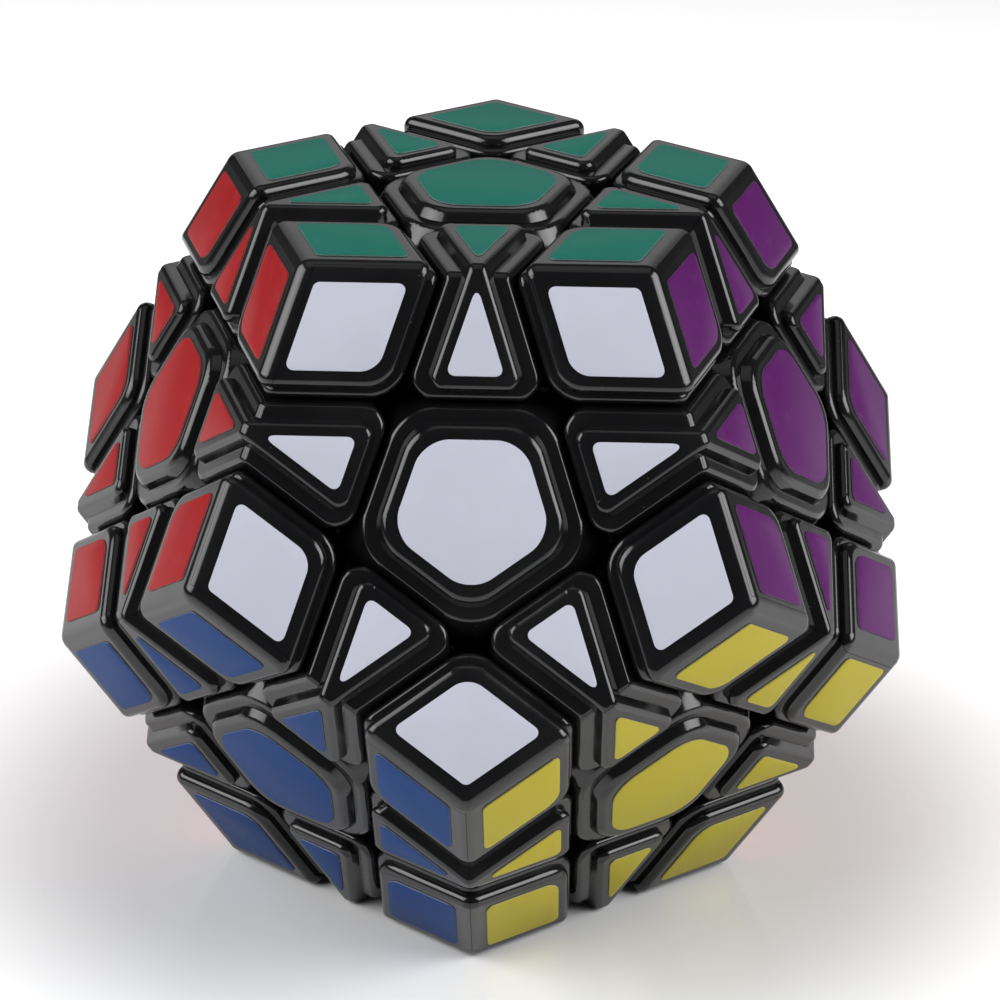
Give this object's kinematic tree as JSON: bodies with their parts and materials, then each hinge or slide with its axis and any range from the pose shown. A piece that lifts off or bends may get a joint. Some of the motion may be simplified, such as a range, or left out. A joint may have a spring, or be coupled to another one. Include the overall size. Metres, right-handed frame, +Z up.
{
  "type": "dodecahedron twisty puzzle",
  "caption": "Dodecahedral twisty puzzle in glossy black plastic with raised coloured tiles; flat face layers turn on sprung screws in a hidden core.",
  "frame": {"origin": "centre of the core, where all the face axes meet", "axes": "+Z up through the top face, which is parallel to the bottom one that it stands on; the front face leans back and looks towards -Y; +X to the right"},
  "size_m": [0.0756, 0.0792, 0.0646],
  "materials": {
    "black_plastic": "glossy moulded black plastic",
    "core_plastic": "satin moulded black plastic",
    "bright_steel": "zinc-plated steel",
    "spring_steel": "bright drawn wire",
    "sticker_white": "semi-gloss vinyl sticker",
    "sticker_green": "semi-gloss vinyl sticker",
    "sticker_purple": "semi-gloss vinyl sticker",
    "sticker_sky": "semi-gloss vinyl sticker",
    "sticker_cream": "semi-gloss vinyl sticker",
    "sticker_red": "semi-gloss vinyl sticker",
    "sticker_yellow": "semi-gloss vinyl sticker",
    "sticker_orange": "semi-gloss vinyl sticker",
    "sticker_grey": "semi-gloss vinyl sticker",
    "sticker_pink": "semi-gloss vinyl sticker",
    "sticker_blue": "semi-gloss vinyl sticker",
    "sticker_lime": "semi-gloss vinyl sticker"
  },
  "bodies": {
    "core": {"core_lower_half": "core_plastic", "core_upper_half": "core_plastic", "corner_green_sky_purple": "black_plastic", "corner_orange_grey_sky": "black_plastic", "corner_pink_blue_red": "black_plastic", "corner_purple_sky_orange": "black_plastic", "corner_yellow_orange_purple": "black_plastic", "edge_green_purple": "black_plastic", "edge_green_red": "black_plastic", "edge_green_sky": "black_plastic", "edge_grey_pink": "black_plastic", "edge_orange_grey": "black_plastic", "edge_pink_blue": "black_plastic", "edge_purple_orange": "black_plastic", "edge_purple_sky": "black_plastic", "edge_purple_yellow": "black_plastic", "edge_red_blue": "black_plastic", "edge_red_pink": "black_plastic", "edge_sky_grey": "black_plastic", "edge_sky_orange": "black_plastic", "edge_yellow_blue": "black_plastic", "edge_yellow_orange": "black_plastic", "fixed_centres": "black_plastic", "spring_washers": "bright_steel", "tension_screws": "bright_steel", "tension_springs": "spring_steel"},
    "front_layer": {"front_centre": "black_plastic", "corner_blue_yellow_white": "black_plastic", "corner_green_purple_white": "black_plastic", "corner_green_white_red": "black_plastic", "corner_red_white_blue": "black_plastic", "corner_white_purple_yellow": "black_plastic", "edge_green_white": "black_plastic", "edge_white_blue": "black_plastic", "edge_white_purple": "black_plastic", "edge_white_red": "black_plastic", "edge_white_yellow": "black_plastic"},
    "rear_layer": {"rear_centre": "black_plastic", "corner_cream_red_pink": "black_plastic", "corner_green_cream_sky": "black_plastic", "corner_green_red_cream": "black_plastic", "corner_grey_pink_cream": "black_plastic", "corner_sky_cream_grey": "black_plastic", "edge_cream_grey": "black_plastic", "edge_cream_pink": "black_plastic", "edge_cream_red": "black_plastic", "edge_green_cream": "black_plastic", "edge_sky_cream": "black_plastic"},
    "bottom_layer": {"bottom_centre": "black_plastic", "corner_blue_yellow_lime": "black_plastic", "corner_grey_pink_lime": "black_plastic", "corner_orange_grey_lime": "black_plastic", "corner_pink_blue_lime": "black_plastic", "corner_yellow_orange_lime": "black_plastic", "edge_blue_lime": "black_plastic", "edge_grey_lime": "black_plastic", "edge_orange_lime": "black_plastic", "edge_pink_lime": "black_plastic", "edge_yellow_lime": "black_plastic"}
  },
  "joints": [
    {"name": "front_face_turn", "type": "hinge", "parent": "core", "child": "front_layer", "pos_m": [0, 0, 0], "axis": [0, -0.8944, 0.4472], "continuous": true},
    {"name": "rear_face_turn", "type": "hinge", "parent": "core", "child": "rear_layer", "pos_m": [0, 0, 0], "axis": [-0.5257, 0.7236, 0.4472], "continuous": true},
    {"name": "bottom_face_turn", "type": "hinge", "parent": "core", "child": "bottom_layer", "pos_m": [0, 0, 0], "axis": [0, 0, -1], "continuous": true}
  ]
}
